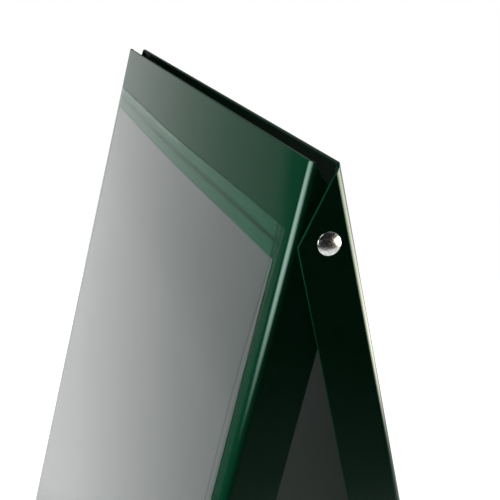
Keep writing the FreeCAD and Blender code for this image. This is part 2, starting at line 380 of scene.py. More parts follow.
# %% Plated, zinc, nylon and rubber finishes
bright_plating = material(
    "bright_plating",
    dark=(0.43, 0.43, 0.41),
    light=(0.84, 0.88, 0.87),
    rough=(0.22, 0.38),
    grain=1100.0,
    cloud=800.0,
    bump_height=2.5e-5,
    smudges=900.0,
    Metallic=1.0,
)
zinc_steel = material(
    "zinc_steel",
    dark=(0.40, 0.40, 0.38),
    light=(0.58, 0.58, 0.55),
    rough=(0.28, 0.42),
    grain=1800.0,
    cloud=160.0,
    bump_height=8e-6,
    smudges=120.0,
    Metallic=1.0,
)
white_nylon = material(
    "white_nylon",
    dark=(0.66, 0.64, 0.58),
    light=(0.74, 0.72, 0.66),
    rough=(0.40, 0.52),
    grain=2200.0,
    cloud=140.0,
    bump_height=6e-6,
)
foot_rubber = material(
    "foot_rubber",
    dark=(0.010, 0.010, 0.010),
    light=(0.022, 0.022, 0.021),
    rough=(0.55, 0.75),
    grain=1600.0,
    cloud=60.0,
    bump_height=4e-5,
)
magnet_strip = material(
    "magnet_strip",
    dark=(0.020, 0.017, 0.015),
    light=(0.034, 0.029, 0.026),
    rough=(0.50, 0.62),
    grain=2400.0,
    cloud=40.0,
    bump_height=2e-5,
)
poster_paper = material(
    "poster_paper",
    dark=(0.147, 0.172, 0.163),
    light=(0.157, 0.182, 0.173),
    rough=(0.26, 0.27),
    grain=2800.0,
    cloud=16.0,
    bump_height=2e-6,
    smudges=3.0,
)
print(len(bpy.data.materials), "materials so far")

# %% [markdown]
# The cover is a clear flexible sheet. As glass it would cast a dark shadow on the poster, because a shadow
# ray can't bend its way through. A Light Path node lets shadow rays pass straight through, as thin clear
# plastic does, while the eye still sees its gloss.

# %% Let light pass
def clear(made):
    """Let shadow rays and bounced light pass straight through a clear material."""
    tree = made.node_tree
    out = tree.nodes["Material Output"]
    shader = tree.nodes["Principled BSDF"]
    path = node(tree, "ShaderNodeLightPath")
    through = node(tree, "ShaderNodeBsdfTransparent")
    mix = node(tree, "ShaderNodeMixShader")
    either = node(tree, "ShaderNodeMath", operation="MAXIMUM")
    link(tree, path.outputs["Is Shadow Ray"], either.inputs[0])
    link(tree, path.outputs["Is Diffuse Ray"], either.inputs[1])
    link(tree, either.outputs["Value"], mix.inputs["Fac"])
    link(tree, shader.outputs["BSDF"], mix.inputs[1])
    link(tree, through.outputs["BSDF"], mix.inputs[2])
    link(tree, mix.outputs["Shader"], out.inputs["Surface"])
    return made


# %% [markdown]
# Along its top the cover is stuck to the coat. There it shines less and looks a little milky, tinted with
# painted green light from the coat beneath. Its crease shows as a dim line of painted shade, and its cut
# edge as a dim line too. The mesh carries marks that tell the material where these places are.

# %% Milky cover where it is stuck, with painted coat light and painted shade in its crease
# The milky diffuse has a painted green tint, standing for light from the coat beneath. The crease colour is
# painted shade.
HAZE = 0.06
STUCK_IOR = 1.16
FREE_IOR = 1.5
HAZE_EDGE = 0.4 * MM
TAPE_END = 294.0 * MM
POSTER_SIDE = 297.0 * MM
SIDE_HAZE = 0.45 * HAZE
SIDE_HAZE_REACH = 35.0 * MM
CREASE_BELOW_TOP = 10.6 * MM
CREASE_HALF_WIDTH = 3.4 * MM
CREASE_SHADE_BOOST = 1.6
MILKY_AND_COAT_LIGHT_COLOUR = (0.13, 0.50, 0.33)
CREASE_SHADE_COLOUR = (0.03, 0.05, 0.045)


def change(tree, value, start, end, low, high):
    """A smooth change from low to high while the value runs from start to end."""
    made = node(tree, "ShaderNodeMapRange", interpolation_type="SMOOTHSTEP")
    made.inputs["From Min"].default_value = start
    made.inputs["From Max"].default_value = end
    made.inputs["To Min"].default_value = low
    made.inputs["To Max"].default_value = high
    link(tree, value, made.inputs["Value"])
    return made.outputs["Result"]


def calculate(tree, operation, first, second=None):
    """One step of arithmetic between two sockets, or on a single one."""
    made = node(tree, "ShaderNodeMath", operation=operation)
    link(tree, first, made.inputs[0])
    if second:
        link(tree, second, made.inputs[1])
    return made.outputs["Value"]


def haze_and_painted_light_where_stuck(made):
    """Over the bare coat the cover shines less and is a little milky, tinted by painted green light from the
    coat; painted shade dims its crease.
    """
    tree = made.node_tree
    shader = tree.nodes["Principled BSDF"]
    mix = shader.outputs["BSDF"].links[0].to_node
    above = node(tree, "ShaderNodeAttribute", attribute_name="above_poster").outputs["Fac"]
    below = node(tree, "ShaderNodeAttribute", attribute_name="below_top").outputs["Fac"]
    across = node(tree, "ShaderNodeSeparateXYZ")
    link(tree, node(tree, "ShaderNodeTexCoord").outputs["Object"], across.inputs["Vector"])
    beside = calculate(tree, "ABSOLUTE", across.outputs["X"])
    off_crease = node(tree, "ShaderNodeMath", operation="SUBTRACT")
    off_crease.inputs[1].default_value = CREASE_BELOW_TOP
    link(tree, below, off_crease.inputs[0])
    crease = calculate(tree, "ABSOLUTE", off_crease.outputs["Value"])
    over_coat = change(tree, above, 0.0, HAZE_EDGE, 0.0, 1.0)
    over_tape = change(tree, beside, TAPE_END, TAPE_END + MM, 1.0, 0.0)
    taped = calculate(tree, "MULTIPLY", over_coat, over_tape)
    side = change(tree, beside, POSTER_SIDE, POSTER_SIDE + HAZE_EDGE, 0.0, 1.0)
    at_side = calculate(tree, "MULTIPLY", side, change(tree, above, -SIDE_HAZE_REACH, 0.0, 0.0, SIDE_HAZE))
    haze_and_crease_shade = calculate(tree, "MAXIMUM", change(tree, taped, 0.0, 1.0, 0.0, HAZE), at_side)
    # Painted shade: the crease takes more of the dark diffuse, which draws a dim line.
    haze_and_crease_shade = calculate(tree, "MULTIPLY", haze_and_crease_shade, change(tree, crease, 0.0, CREASE_HALF_WIDTH, CREASE_SHADE_BOOST, 1.0))
    dim = change(tree, crease, 0.0, CREASE_HALF_WIDTH, 1.0, 0.0)
    glow = node(tree, "ShaderNodeBsdfDiffuse")
    link(tree, tint(tree, dim, MILKY_AND_COAT_LIGHT_COLOUR, CREASE_SHADE_COLOUR), glow.inputs["Color"])
    free = calculate(
        tree,
        "MULTIPLY",
        change(tree, above, 0.0, HAZE_EDGE, 1.0, 0.0),
        change(tree, beside, POSTER_SIDE, POSTER_SIDE + HAZE_EDGE, 1.0, 0.0),
    )
    link(tree, change(tree, free, 0.0, 1.0, STUCK_IOR, FREE_IOR), shader.inputs["IOR"])
    blend = node(tree, "ShaderNodeMixShader")
    link(tree, haze_and_crease_shade, blend.inputs["Fac"])
    link(tree, shader.outputs["BSDF"], blend.inputs[1])
    link(tree, glow.outputs["BSDF"], blend.inputs[2])
    link(tree, blend.outputs["Shader"], mix.inputs[1])


# %% Cut edge
CUT_EDGE_GREY = (0.12, 0.11, 0.115, 1.0)


def grey_cut_edge(made):
    """The cut edge of a clear sheet shows a dim grey line, the light that comes out of the sheet there."""
    tree = made.node_tree
    mix = tree.nodes["Material Output"].inputs["Surface"].links[0].from_node
    sheet = mix.inputs[1].links[0].from_socket
    edge = node(tree, "ShaderNodeAttribute", attribute_name="cut_edge").outputs["Fac"]
    glow = node(tree, "ShaderNodeBsdfTranslucent")
    glow.inputs["Color"].default_value = CUT_EDGE_GREY
    blend = node(tree, "ShaderNodeMixShader")
    link(tree, edge, blend.inputs["Fac"])
    link(tree, sheet, blend.inputs[1])
    link(tree, glow.outputs["BSDF"], blend.inputs[2])
    link(tree, blend.outputs["Shader"], mix.inputs[1])


# %% Clear film and clear tape
clear_film = clear(
    material(
        "clear_film",
        dark=(0.96, 0.975, 0.965),
        light=(0.985, 0.99, 0.985),
        rough=(0.045, 0.055),
        grain=60.0,
        cloud=8.0,
        bump_height=1e-6,
        smudges=3.0,
        Transmission_Weight=1.0,
        IOR=FREE_IOR,
    )
)
haze_and_painted_light_where_stuck(clear_film)
grey_cut_edge(clear_film)
clear_tape = clear(
    material(
        "clear_tape",
        dark=(0.88, 0.93, 0.91),
        light=(0.93, 0.96, 0.94),
        rough=(0.15, 0.25),
        grain=500.0,
        cloud=50.0,
        bump_height=1e-6,
        Transmission_Weight=1.0,
        IOR=1.03,
    )
)
print(len(bpy.data.materials), "materials in all")

# %% [markdown]
# ## The folded trays
# On the real sign each tray is one flat blank with its corners cut off and its long sides folded back. The
# mesh follows the blank's columns: half a face, then its side edge extruded step by step round the bend and
# along the return. Each column's ends are then slid to the cut line, so the cut stays square to the sheet
# as on a blank that was cut before it was folded. Mirror adds the other half, and Solidify the thickness.

# %% Where the returns are cut back
PLAIN_CUT_TURN = 32.0
PLAIN_CUT_DROP = 5.9 * MM
REAR_CUT_END = 43.4 * MM
LOWER_CUT_END = 44.0 * MM
FRONT_CUT_TURN = 60.0
FRONT_CUT_DROP = 3.8 * MM
FRONT_CUT_SLOPE = math.tan(math.radians(43.0))
STOP_CLEARANCE = 0.45 * MM
RETURN_GAP = (rear.width - front.width) / 2 - SHEET


def stop_cut():
    """The front's cut along its return, whose last stretch lies against the rear tray when open."""
    inside_radius = BEND_RADIUS - SHEET
    into_bend = max(0.0, inside_radius - RETURN_GAP)
    bend_rise = inside_radius - math.sqrt(inside_radius**2 - into_bend**2)
    reach = rear.pivot_depth - SHEET - bend_rise - STOP_CLEARANCE
    behind = front.return_depth - front.pivot_depth
    above = (reach - behind * math.cos(SPREAD)) / math.sin(SPREAD)
    stop_drop = front.pivot_drop - above
    stop_slope = 1 / math.tan(SPREAD)
    rise = stop_drop - stop_slope * front.return_depth - FRONT_CUT_DROP + FRONT_CUT_SLOPE * BEND_RADIUS
    knee = rise / (FRONT_CUT_SLOPE - stop_slope)
    knee_drop = FRONT_CUT_DROP + FRONT_CUT_SLOPE * (knee - BEND_RADIUS)
    return [(BEND_RADIUS, FRONT_CUT_DROP), (knee, knee_drop), (front.return_depth, stop_drop)]


def plain_cut(leg, end_drop):
    return [(BEND_RADIUS, PLAIN_CUT_DROP), (leg.return_depth, end_drop)]


def drop_on(line, depth):
    """How far a cut line has dropped at this depth of the return."""
    for (d0, s0), (d1, s1) in zip(line, line[1:]):
        if depth <= d1:
            return s0 + (s1 - s0) * (depth - d0) / (d1 - d0)
    return line[-1][1]


# %% Fold one tray
BEND_STEPS = 15
SAME_PLACE = 1e-5


def columns(leg, top_turn, top_line, low_turn, low_line):
    """Every column right of the face: its place across, its depth, and its drops at top and bottom."""
    made = []
    flat = leg.width / 2 - BEND_RADIUS
    for step in range(1, BEND_STEPS + 1):
        turn = 90 * step / BEND_STEPS
        across = flat + BEND_RADIUS * math.sin(math.radians(turn))
        depth = BEND_RADIUS * (1 - math.cos(math.radians(turn)))
        top = top_line[0][1] * max(0.0, turn - top_turn) / (90 - top_turn)
        low = low_line[0][1] * max(0.0, turn - low_turn) / (90 - low_turn)
        made.append((across, depth, top, low))
    stops = sorted({depth for depth, _ in top_line[1:]})
    for depth in stops:
        made.append((leg.width / 2, depth, drop_on(top_line, depth), drop_on(low_line, depth)))
    return made


def fold_tray(leg, steps):
    """Extrude half a face's side edge from column to column, slide the ends to the cuts, and mirror it."""
    start_clean()
    flat = leg.width / 2 - BEND_RADIUS
    middle = (flat / 2, 0, -leg.length / 2)
    bpy.ops.mesh.primitive_plane_add(size=1, location=middle, rotation=(math.pi / 2, 0, 0))
    tray = newest(f"{leg.end}_tray")
    tray.scale = (flat, leg.length, 1)
    settle(tray)
    edit(tray, "EDGE")
    pick(tray, "EDGE", lambda spot: spot.x > flat - MM)
    across, depth = flat, 0.0
    for next_across, next_depth, _, _ in steps:
        move = (next_across - across, next_depth - depth, 0)
        bpy.ops.mesh.extrude_edges_move(TRANSFORM_OT_translate={"value": move})
        across, depth = next_across, next_depth
    for across, depth, top, low in steps:
        for height, slide in ((0.0, -top), (-leg.length, low)):
            end = Vector((across, depth, height))
            pick(tray, "VERT", lambda spot: (spot - end).length < SAME_PLACE)
            bpy.ops.transform.translate(value=(0, 0, slide))
    done()
    modify(tray, "MIRROR", use_axis=(True, False, False), use_clip=True, merge_threshold=SAME_PLACE)
    return tray


top_cuts = {"front": (FRONT_CUT_TURN, stop_cut()), "rear": (PLAIN_CUT_TURN, plain_cut(rear, REAR_CUT_END))}
trays = {}
for leg in LEGS:
    steps = columns(leg, *top_cuts[leg.end], PLAIN_CUT_TURN, plain_cut(leg, LOWER_CUT_END))
    trays[leg.end] = fold_tray(leg, steps)
    print(f"{leg.end} tray folded: {len(trays[leg.end].data.polygons)} faces")

# %% Give the sheet its thickness, round its raw edges and drill it
EDGE_ROUND = 0.35 * MM
EDGE_ANGLE = math.radians(50)
FRONT_HOLE_RADIUS = 4.1 * MM
HOLE_FACETS = 48
REAR_HOLE_SIDE = 6.2 * MM
OUTER_SKIN = 0.95
INNER_SKIN = -0.5


def drill(piece, cutter):
    modify(piece, "BOOLEAN", object=cutter, operation="DIFFERENCE", solver="EXACT")
    bpy.data.objects.remove(cutter)


def mark_gloss(tray, leg):
    """Mark the outer skin, the cut edges and the inside, for the material to read."""
    marks = tray.data.attributes.new("gloss", "FLOAT", "FACE")
    flat = leg.width / 2 - BEND_RADIUS
    for face, mark in zip(tray.data.polygons, marks.data):
        spot = face.center
        core = Vector((max(-flat, min(flat, spot.x)), max(BEND_RADIUS, spot.y), spot.z))
        outward = face.normal.dot((spot - core).normalized())
        mark.value = EDGE_GLOSS
        if outward > OUTER_SKIN:
            mark.value = FULL_GLOSS
        elif outward < INNER_SKIN:
            mark.value = INSIDE_GLOSS


for leg in LEGS:
    tray = trays[leg.end]
    face_outward(tray)
    face_normal = max(tray.data.polygons, key=lambda polygon: polygon.area).normal
    modify(tray, "SOLIDIFY", thickness=SHEET, offset=-1 if face_normal.y < 0 else 1, use_even_offset=True)
    face_outward(tray)
    modify(tray, "BEVEL", width=EDGE_ROUND, segments=2, limit_method="ANGLE", angle_limit=EDGE_ANGLE)
    for side in (1, -1):
        centre = (side * leg.width / 2, leg.pivot_depth, -leg.pivot_drop)
        start_clean()
        if leg is front:
            bpy.ops.mesh.primitive_cylinder_add(
                vertices=HOLE_FACETS,
                radius=FRONT_HOLE_RADIUS,
                depth=4 * BEND_RADIUS,
                location=centre,
                rotation=(0, math.pi / 2, 0),
            )
        else:
            bpy.ops.mesh.primitive_cube_add(size=REAR_HOLE_SIDE, location=centre)
        cutter = newest("cutter")
        settle(cutter)
        drill(tray, cutter)
    mark_gloss(tray, leg)
    smooth(tray)
    seat(tray, leg)
    finish(tray, green_coat, leg.body, "green_coat", f"{leg.end}_panel")

# %% [markdown]
# ## Poster, tape, cover and magnetic hem
# These are thin sheets, so a grid primitive with a Solidify modifier is all the shape they need. The cover is
# one sheet on the real sign: taped along its top, creased just below the tape, and free from there down. The
# grid has many rows.

# %% Sizes of the sheets, taken from the solids
FILM = 0.3 * MM
TAPE = 0.4 * MM
AIR = 0.01 * MM
POSTER_OUTSIDE = 0.3 * MM
POSTER_THICKNESS = 0.28 * MM
HEM_THICKNESS = 0.3 * MM
SHEET_COLUMNS = 24
POSTER_ROWS = 150
TAPE_ROWS = 4
FILM_ROWS = 160


def span(leg, node_name):
    """A flat node's width and the drops of its top and bottom edges on its leg."""
    low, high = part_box(node_name)
    corners = [leg.place.inverted() @ vertex.co for vertex in nodes[node_name].data.vertices]
    drops = [-corner.z for corner in corners]
    return high.x - low.x, min(drops), max(drops)


def sheet_piece(name, width, top, bottom, outside, columns=2, rows=2):
    """A flat sheet that stands a little outside the tray's face."""
    start_clean()
    middle = (0, -outside, -(top + bottom) / 2)
    bpy.ops.mesh.primitive_grid_add(
        x_subdivisions=columns, y_subdivisions=rows, size=1, location=middle, rotation=(math.pi / 2, 0, 0)
    )
    piece = newest(name)
    piece.scale = (width, bottom - top, 1)
    settle(piece)
    return piece


def soft(reach):
    """Settings for proportional editing, so that the sheet around the picked points follows smoothly."""
    return {"use_proportional_edit": True, "proportional_edit_falloff": "SMOOTH", "proportional_size": reach}


# %% [markdown]
# A slack sheet sags in the middle of its top edge. The front cover also stands off a little at its right
# edge. Both are made with proportional editing, which lets the points around the picked ones follow.

# %% Sag of the top edges
SAG_MIDDLE = -25.0 * MM
SAG_REACH = 0.32
FILM_SAG = 3.4 * MM
POSTER_SAG = 2.4 * MM


def let_sag(piece, top, sag):
    """Pull the middle of the top edge down a little, as a slack sheet hangs."""
    edit(piece, "VERT")
    nearest = min((abs(point.co.x - SAG_MIDDLE), point.co.x) for point in piece.data.vertices)[1]
    pick(piece, "VERT", lambda spot: abs(spot.x - nearest) < MM and spot.z > -top - MM)
    bpy.ops.transform.translate(value=(0, 0, -sag), **soft(SAG_REACH))
    done()


def sag_at(x, sag):
    """How far a sagging edge has dropped at this place across."""
    share = max(0.0, 1 - abs(x - SAG_MIDDLE) / SAG_REACH)
    return sag * share * share * (3 - 2 * share)


# %% Lift of the front cover's right edge
LIFT = 2.2 * MM
LIFT_START = 0.17
LIFT_END = 0.80
LIFT_REACH = 0.115
CURL = 2.0 * MM
CURL_REACH = 0.45
TRIM = 0.8 * MM
TRIM_START = 0.058


def lift_side(piece, width):
    """Swing the sheet about its left edge, curl its right edge off the tray and trim it."""
    edit(piece, "VERT")
    pick(piece, "VERT", lambda spot: -LIFT_END < spot.z < -LIFT_START)
    hinge = (-width / 2, 0, 0)
    bpy.ops.transform.rotate(value=LIFT / width, orient_axis="Z", center_override=hinge, **soft(LIFT_REACH))
    pick(piece, "VERT", lambda spot: spot.x > width / 2 - MM and -LIFT_END < spot.z < -LIFT_START)
    curl = dict(soft(CURL_REACH), proportional_edit_falloff="SHARP")
    bpy.ops.transform.translate(value=(0, -CURL, 0), **curl)
    pick(piece, "VERT", lambda spot: spot.x > width / 2 - MM and spot.z < -TRIM_START)
    bpy.ops.transform.translate(value=(-TRIM, 0, 0))
    done()
    ends = [point.co.y for point in piece.data.vertices if point.co.x > width / 2 - TRIM - MM]
    print(f"{piece.name}: right edge from {min(ends) / MM:.2f} to {max(ends) / MM:.2f} mm")


# %% Poster, tape and hem
for leg in LEGS:
    width, top, bottom = span(leg, f"{leg.end}_poster")
    leg.poster_top = top
    size = (width, top, bottom)
    poster = sheet_piece(f"{leg.end}_poster_sheet", *size, POSTER_OUTSIDE, SHEET_COLUMNS, POSTER_ROWS)
    let_sag(poster, top, POSTER_SAG)
    modify(poster, "SOLIDIFY", thickness=POSTER_THICKNESS, offset=-1)
    smooth(poster)
    seat(poster, leg)
    finish(poster, poster_paper, leg.body, "poster_sheet", f"{leg.end}_poster")
    width, top, bottom = span(leg, f"{leg.end}_cover_tape")
    tape = sheet_piece(f"{leg.end}_tape", width, top, bottom, TAPE - AIR, SHEET_COLUMNS, TAPE_ROWS)
    let_sag(tape, top, FILM_SAG)
    modify(tape, "SOLIDIFY", thickness=TAPE - 2 * AIR, offset=-1)
    seat(tape, leg)
    finish(tape, clear_tape, leg.body, "clear_tape", f"{leg.end}_cover_tape")
    width, top, bottom = span(leg, f"{leg.end}_magnet_strip")
    hem = sheet_piece(f"{leg.end}_magnetic_hem", width, top, bottom, TAPE - 2 * AIR)
    modify(hem, "SOLIDIFY", thickness=HEM_THICKNESS, offset=-1)
    seat(hem, leg)
    finish(hem, magnet_strip, leg.flap, "magnet_strip", f"{leg.end}_magnet_strip")

# %% Edges of the clear cover
TOP_ROW = 3.0 * MM
THIN_EDGE = 0.02 * MM
SIDEWAYS = 0.5


def below_top(spot, top):
    """How far a point lies below the cover's sagging top edge."""
    return -spot.z - top - sag_at(spot.x, FILM_SAG)


def thin_top(film, top):
    """Press the back of the top edge against its front, so that no dark face shows there."""
    edit(film, "VERT")
    back = -TAPE - FILM / 2
    pick(film, "VERT", lambda spot: spot.y > back and below_top(spot, top) < TOP_ROW / 2)
    bpy.ops.transform.translate(value=(0, THIN_EDGE - FILM, 0))
    done()


def mark_places(film, leg, top):
    """Mark how far each point lies above the poster and below the film's own top, for the material."""
    above = film.data.attributes.new("above_poster", "FLOAT", "POINT")
    below = film.data.attributes.new("below_top", "FLOAT", "POINT")
    for point, over, under in zip(film.data.vertices, above.data, below.data):
        over.value = leg.poster_top + sag_at(point.co.x, POSTER_SAG) + point.co.z
        under.value = below_top(point.co, top)
    cut = film.data.attributes.new("cut_edge", "FLOAT", "FACE")
    for face, mark in zip(film.data.polygons, cut.data):
        mark.value = 1.0 if abs(face.normal.x) > SIDEWAYS else 0.0


# %% The clear cover, one sheet from its taped top to the foot of the flap
FILM_LOWER = 1.4 * MM
BEND_LENGTH = 0.12
for leg in LEGS:
    width, top, crease = span(leg, f"{leg.end}_cover_header")
    bottom = span(leg, f"{leg.end}_cover_flap")[2]
    top = top + FILM_LOWER
    film = sheet_piece(f"{leg.end}_clear_cover", width, top, bottom, TAPE + FILM, SHEET_COLUMNS, FILM_ROWS)
    edit(film)
    bpy.ops.mesh.select_all(action="SELECT")
    bpy.ops.mesh.bisect(plane_co=(0, 0, -top - TOP_ROW), plane_no=(0, 0, 1))
    done()
    let_sag(film, top, FILM_SAG)
    if leg is front:
        lift_side(film, width)
    modify(film, "SOLIDIFY", thickness=FILM, offset=-1)
    thin_top(film, top)
    smooth(film)
    mark_places(film, leg, top)
    seat(film, leg)
    finish(film, clear_film, None, "clear_film", f"{leg.end}_cover_header", f"{leg.end}_cover_flap")
    leg.at(0, 0, crease)
    leg.at(0, 0, crease + BEND_LENGTH)
    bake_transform(film)

# %% [markdown]
# ## The pivots
# A bright cup head bolt holds each side. Its head is a shallow dome, which is drawn as rings: a disc is
# extruded upwards again and again, each ring a little smaller, following a circle's curve. A bush between the
# returns, a washer and a lock nut sit behind it, out of sight from the front.

# %% Cup head bolts
HEAD_RADIUS = 7.6 * MM
HEAD_HEIGHT = 2.8 * MM
HEAD_RIM = 0.6 * MM
RIM_ROUND = 0.25 * MM
SHANK_RADIUS = 3.0 * MM
SHANK_CHAMFER = 0.5 * MM
RINGS = 14
HEAD_FACETS = 72
DOME_SHARE = 0.998
RIM_BAND = 0.05 * MM
UNDERSIDE = 0.01 * MM
HEAD_EDGE_ANGLE = 40


def dome_radius_at(height):
    """The dome's radius at a height above its rim."""
    rise = HEAD_HEIGHT - HEAD_RIM
    sphere = (HEAD_RADIUS**2 + rise**2) / (2 * rise)
    return math.sqrt(max(0.0, sphere**2 - (sphere - rise + height) ** 2))


def cup_head_bolt(name, shank_length):
    """A bolt standing on its shank, with its head's underside on Z = 0."""
    start_clean()
    bpy.ops.mesh.primitive_circle_add(vertices=HEAD_FACETS, radius=HEAD_RADIUS, fill_type="NGON")
    bolt = newest(name)
    edit(bolt)
    bpy.ops.mesh.select_all(action="SELECT")
    bpy.ops.mesh.extrude_region_move(TRANSFORM_OT_translate={"value": (0, 0, HEAD_RIM)})
    rise = HEAD_HEIGHT - HEAD_RIM
    radius, height = HEAD_RADIUS, 0.0
    for ring in range(1, RINGS + 1):
        turn = ring / RINGS * math.pi / 2
        next_height = rise * math.sin(turn) * DOME_SHARE
        bpy.ops.mesh.extrude_region_move(TRANSFORM_OT_translate={"value": (0, 0, next_height - height)})
        shrink = dome_radius_at(next_height) / radius
        bpy.ops.transform.resize(value=(shrink, shrink, 1), center_override=(0, 0, 0))
        radius, height = dome_radius_at(next_height), next_height
    pick(bolt, "EDGE", lambda middle: abs(middle.z - HEAD_RIM) < RIM_BAND)
    bpy.ops.mesh.bevel(offset=RIM_ROUND, segments=4, affect="EDGES")
    pick(bolt, "FACE", lambda middle: middle.z < UNDERSIDE)
    bpy.ops.mesh.inset(thickness=HEAD_RADIUS - SHANK_RADIUS, use_boundary=True)
    bpy.ops.mesh.extrude_region_move(TRANSFORM_OT_translate={"value": (0, 0, -shank_length)})
    bpy.ops.mesh.inset(thickness=SHANK_CHAMFER)
    bpy.ops.transform.translate(value=(0, 0, -SHANK_CHAMFER))
    done()
    face_outward(bolt)
    return bolt


def on_axis(piece, side, outer_x):
    """Lay a piece that stands on Z along the pivot axis, its base at outer_x on one side of the sign."""
    turn = Matrix.Rotation(side * math.pi / 2, 4, "Y")
    place = Matrix.Translation((side * outer_x, PIVOT.y, PIVOT.z))
    piece.matrix_world = place @ Matrix.Rotation(LEAN, 4, "X") @ turn @ piece.matrix_world
    settle(piece)


SIDES = (("right", 1), ("left", -1))
for name, side in SIDES:
    low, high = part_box(f"pivot_bolt_{name}")
    outer_x = rear.width / 2
    shank_length = outer_x - min(abs(low.x), abs(high.x)) - SHANK_CHAMFER
    bolt = cup_head_bolt(f"bolt_{name}", shank_length)
    on_axis(bolt, side, outer_x)
    smooth(bolt, HEAD_EDGE_ANGLE)
    finish(bolt, bright_plating, "rear_leg", "bright_plating", f"pivot_bolt_{name}")

# %% Dress the small turned pieces behind the returns
SMALL_PIECES = {
    "pivot_bush": white_nylon,
    "pivot_washer": zinc_steel,
    "lock_nut": zinc_steel,
    "nut_insert": white_nylon,
}
for name, _ in SIDES:
    for stem, look in SMALL_PIECES.items():
        dress(nodes[f"{stem}_{name}"], look)
print(2 * len(SMALL_PIECES), "small pieces dressed")

# %% [markdown]
# ## Rubber feet
# Each foot is a moulded grip that is pushed on a tray's lower edge. Its sole is moulded at the tray's lean so
# that it lies flat on the ground.

# %% Dress the feet
for leg in LEGS:
    for name, _ in SIDES:
        dress(nodes[f"{leg.end}_foot_{name}"], foot_rubber)
print("feet dressed")

# %% [markdown]
# ## The studio
# The sign stands on a plain white floor, among lamps. The surround is bright behind and to the left, and
# fades to dark in front and to the right, which gives the glossy coat its long gradient. To the camera the
# floor is white, a little less so under the sign, where its shadow then shows. To glossy surfaces the far
# floor is left out, so that they show the surround instead.

# %% What the eye sees
ON_FLOOR = 2.5
ON_BACKDROP = 3.5


def to_the_eye(tree, path, steps):
    """1 for rays that come from the camera, straight or through a single clear sheet. The backdrop counts
    one step more than the floor."""
    short = node(tree, "ShaderNodeMath", operation="LESS_THAN")
    short.inputs[1].default_value = steps
    link(tree, path.outputs["Ray Depth"], short.inputs[0])
    clear_way = calculate(tree, "MULTIPLY", path.outputs["Is Transmission Ray"], short.outputs["Value"])
    return calculate(tree, "MAXIMUM", path.outputs["Is Camera Ray"], clear_way)


# %% Floor material
FLOOR_GREY = 0.45
FLOOR_ROUGHNESS = 0.9
SHADOW_GLOW = 0.62
SHADOW_FADE = (0.45, 0.85)
PAPER_GLOW = 0.85
PAPER_RIGHT_FADE = (0.90, 1.52)
PAPER_LEFT_FADE = (-0.7, 0.2)
PAPER_LEFT_SHARE = 0.15
LEFT_HALF_FADE = (0.3, 0.9)
LEFT_FAR = (0.8, 1.2)
FAR = (1.2, 2.3)


def floor_material():
    """White to the eye, paper to the gloss near the sign, and not there for the gloss further away."""
    made = bpy.data.materials.new("studio_floor")
    made.use_nodes = True
    tree = made.node_tree
    out = tree.nodes["Material Output"]
    shader = tree.nodes["Principled BSDF"]
    shader.inputs["Base Color"].default_value = (FLOOR_GREY, FLOOR_GREY, FLOOR_GREY, 1)
    shader.inputs["Roughness"].default_value = FLOOR_ROUGHNESS
    shader.inputs["Specular IOR Level"].default_value = 0.0
    place = node(tree, "ShaderNodeTexCoord").outputs["Object"]
    away = node(tree, "ShaderNodeVectorMath", operation="LENGTH")
    link(tree, place, away.inputs[0])
    path = node(tree, "ShaderNodeLightPath")
    eye = to_the_eye(tree, path, ON_FLOOR)
    white = change(tree, away.outputs["Value"], *SHADOW_FADE, SHADOW_GLOW, 1.0)
    to_eye = calculate(tree, "MULTIPLY", eye, white)
    across = node(tree, "ShaderNodeSeparateXYZ")
    link(tree, place, across.inputs["Vector"])
    paper = change(tree, across.outputs["X"], *PAPER_RIGHT_FADE, PAPER_GLOW, 0.0)
    paper_left = change(tree, across.outputs["X"], *PAPER_LEFT_FADE, PAPER_LEFT_SHARE, 1.0)
    paper = calculate(tree, "MULTIPLY", paper, paper_left)
    to_gloss = calculate(tree, "MULTIPLY", path.outputs["Is Glossy Ray"], paper)
    glow = node(tree, "ShaderNodeEmission")
    link(tree, calculate(tree, "ADD", to_eye, to_gloss), glow.inputs["Strength"])
    add = node(tree, "ShaderNodeAddShader")
    link(tree, shader.outputs["BSDF"], add.inputs[0])
    link(tree, glow.outputs["Emission"], add.inputs[1])
    left = change(tree, across.outputs["X"], *LEFT_HALF_FADE, 1.0, 0.0)
    far = calculate(tree, "MULTIPLY", left, change(tree, away.outputs["Value"], *LEFT_FAR, 0.0, 1.0))
    far = calculate(tree, "MAXIMUM", far, change(tree, away.outputs["Value"], *FAR, 0.0, 1.0))
    leave_out = node(tree, "ShaderNodeMixShader")
    link(tree, calculate(tree, "MULTIPLY", path.outputs["Is Glossy Ray"], far), leave_out.inputs["Fac"])
    link(tree, add.outputs["Shader"], leave_out.inputs[1])
    link(tree, node(tree, "ShaderNodeBsdfTransparent").outputs["BSDF"], leave_out.inputs[2])
    link(tree, leave_out.outputs["Shader"], out.inputs["Surface"])
    return made


# %% Floor
FLOOR_RADIUS = 2.4
FLOOR_FACETS = 96
start_clean()
bpy.ops.mesh.primitive_circle_add(vertices=FLOOR_FACETS, radius=FLOOR_RADIUS, fill_type="NGON")
floor = newest("studio_floor")
floor.data.materials.append(floor_material())
print("floor", FLOOR_RADIUS, "m in radius")

# %% Surround
DARK = 0.012
TO_FRONT = (0.0, -1.0, 0.33)
RIGHT_FADE = (0.0, 0.5)
FRONT_FADE = (-0.427, -0.411)
SURROUND = (
    (0.10, 0.92),
    (0.15, 0.83),
    (0.19, 0.62),
    (0.25, 0.35),
    (0.30, 0.22),
    (0.357, 0.13),
    (0.363, DARK),
)


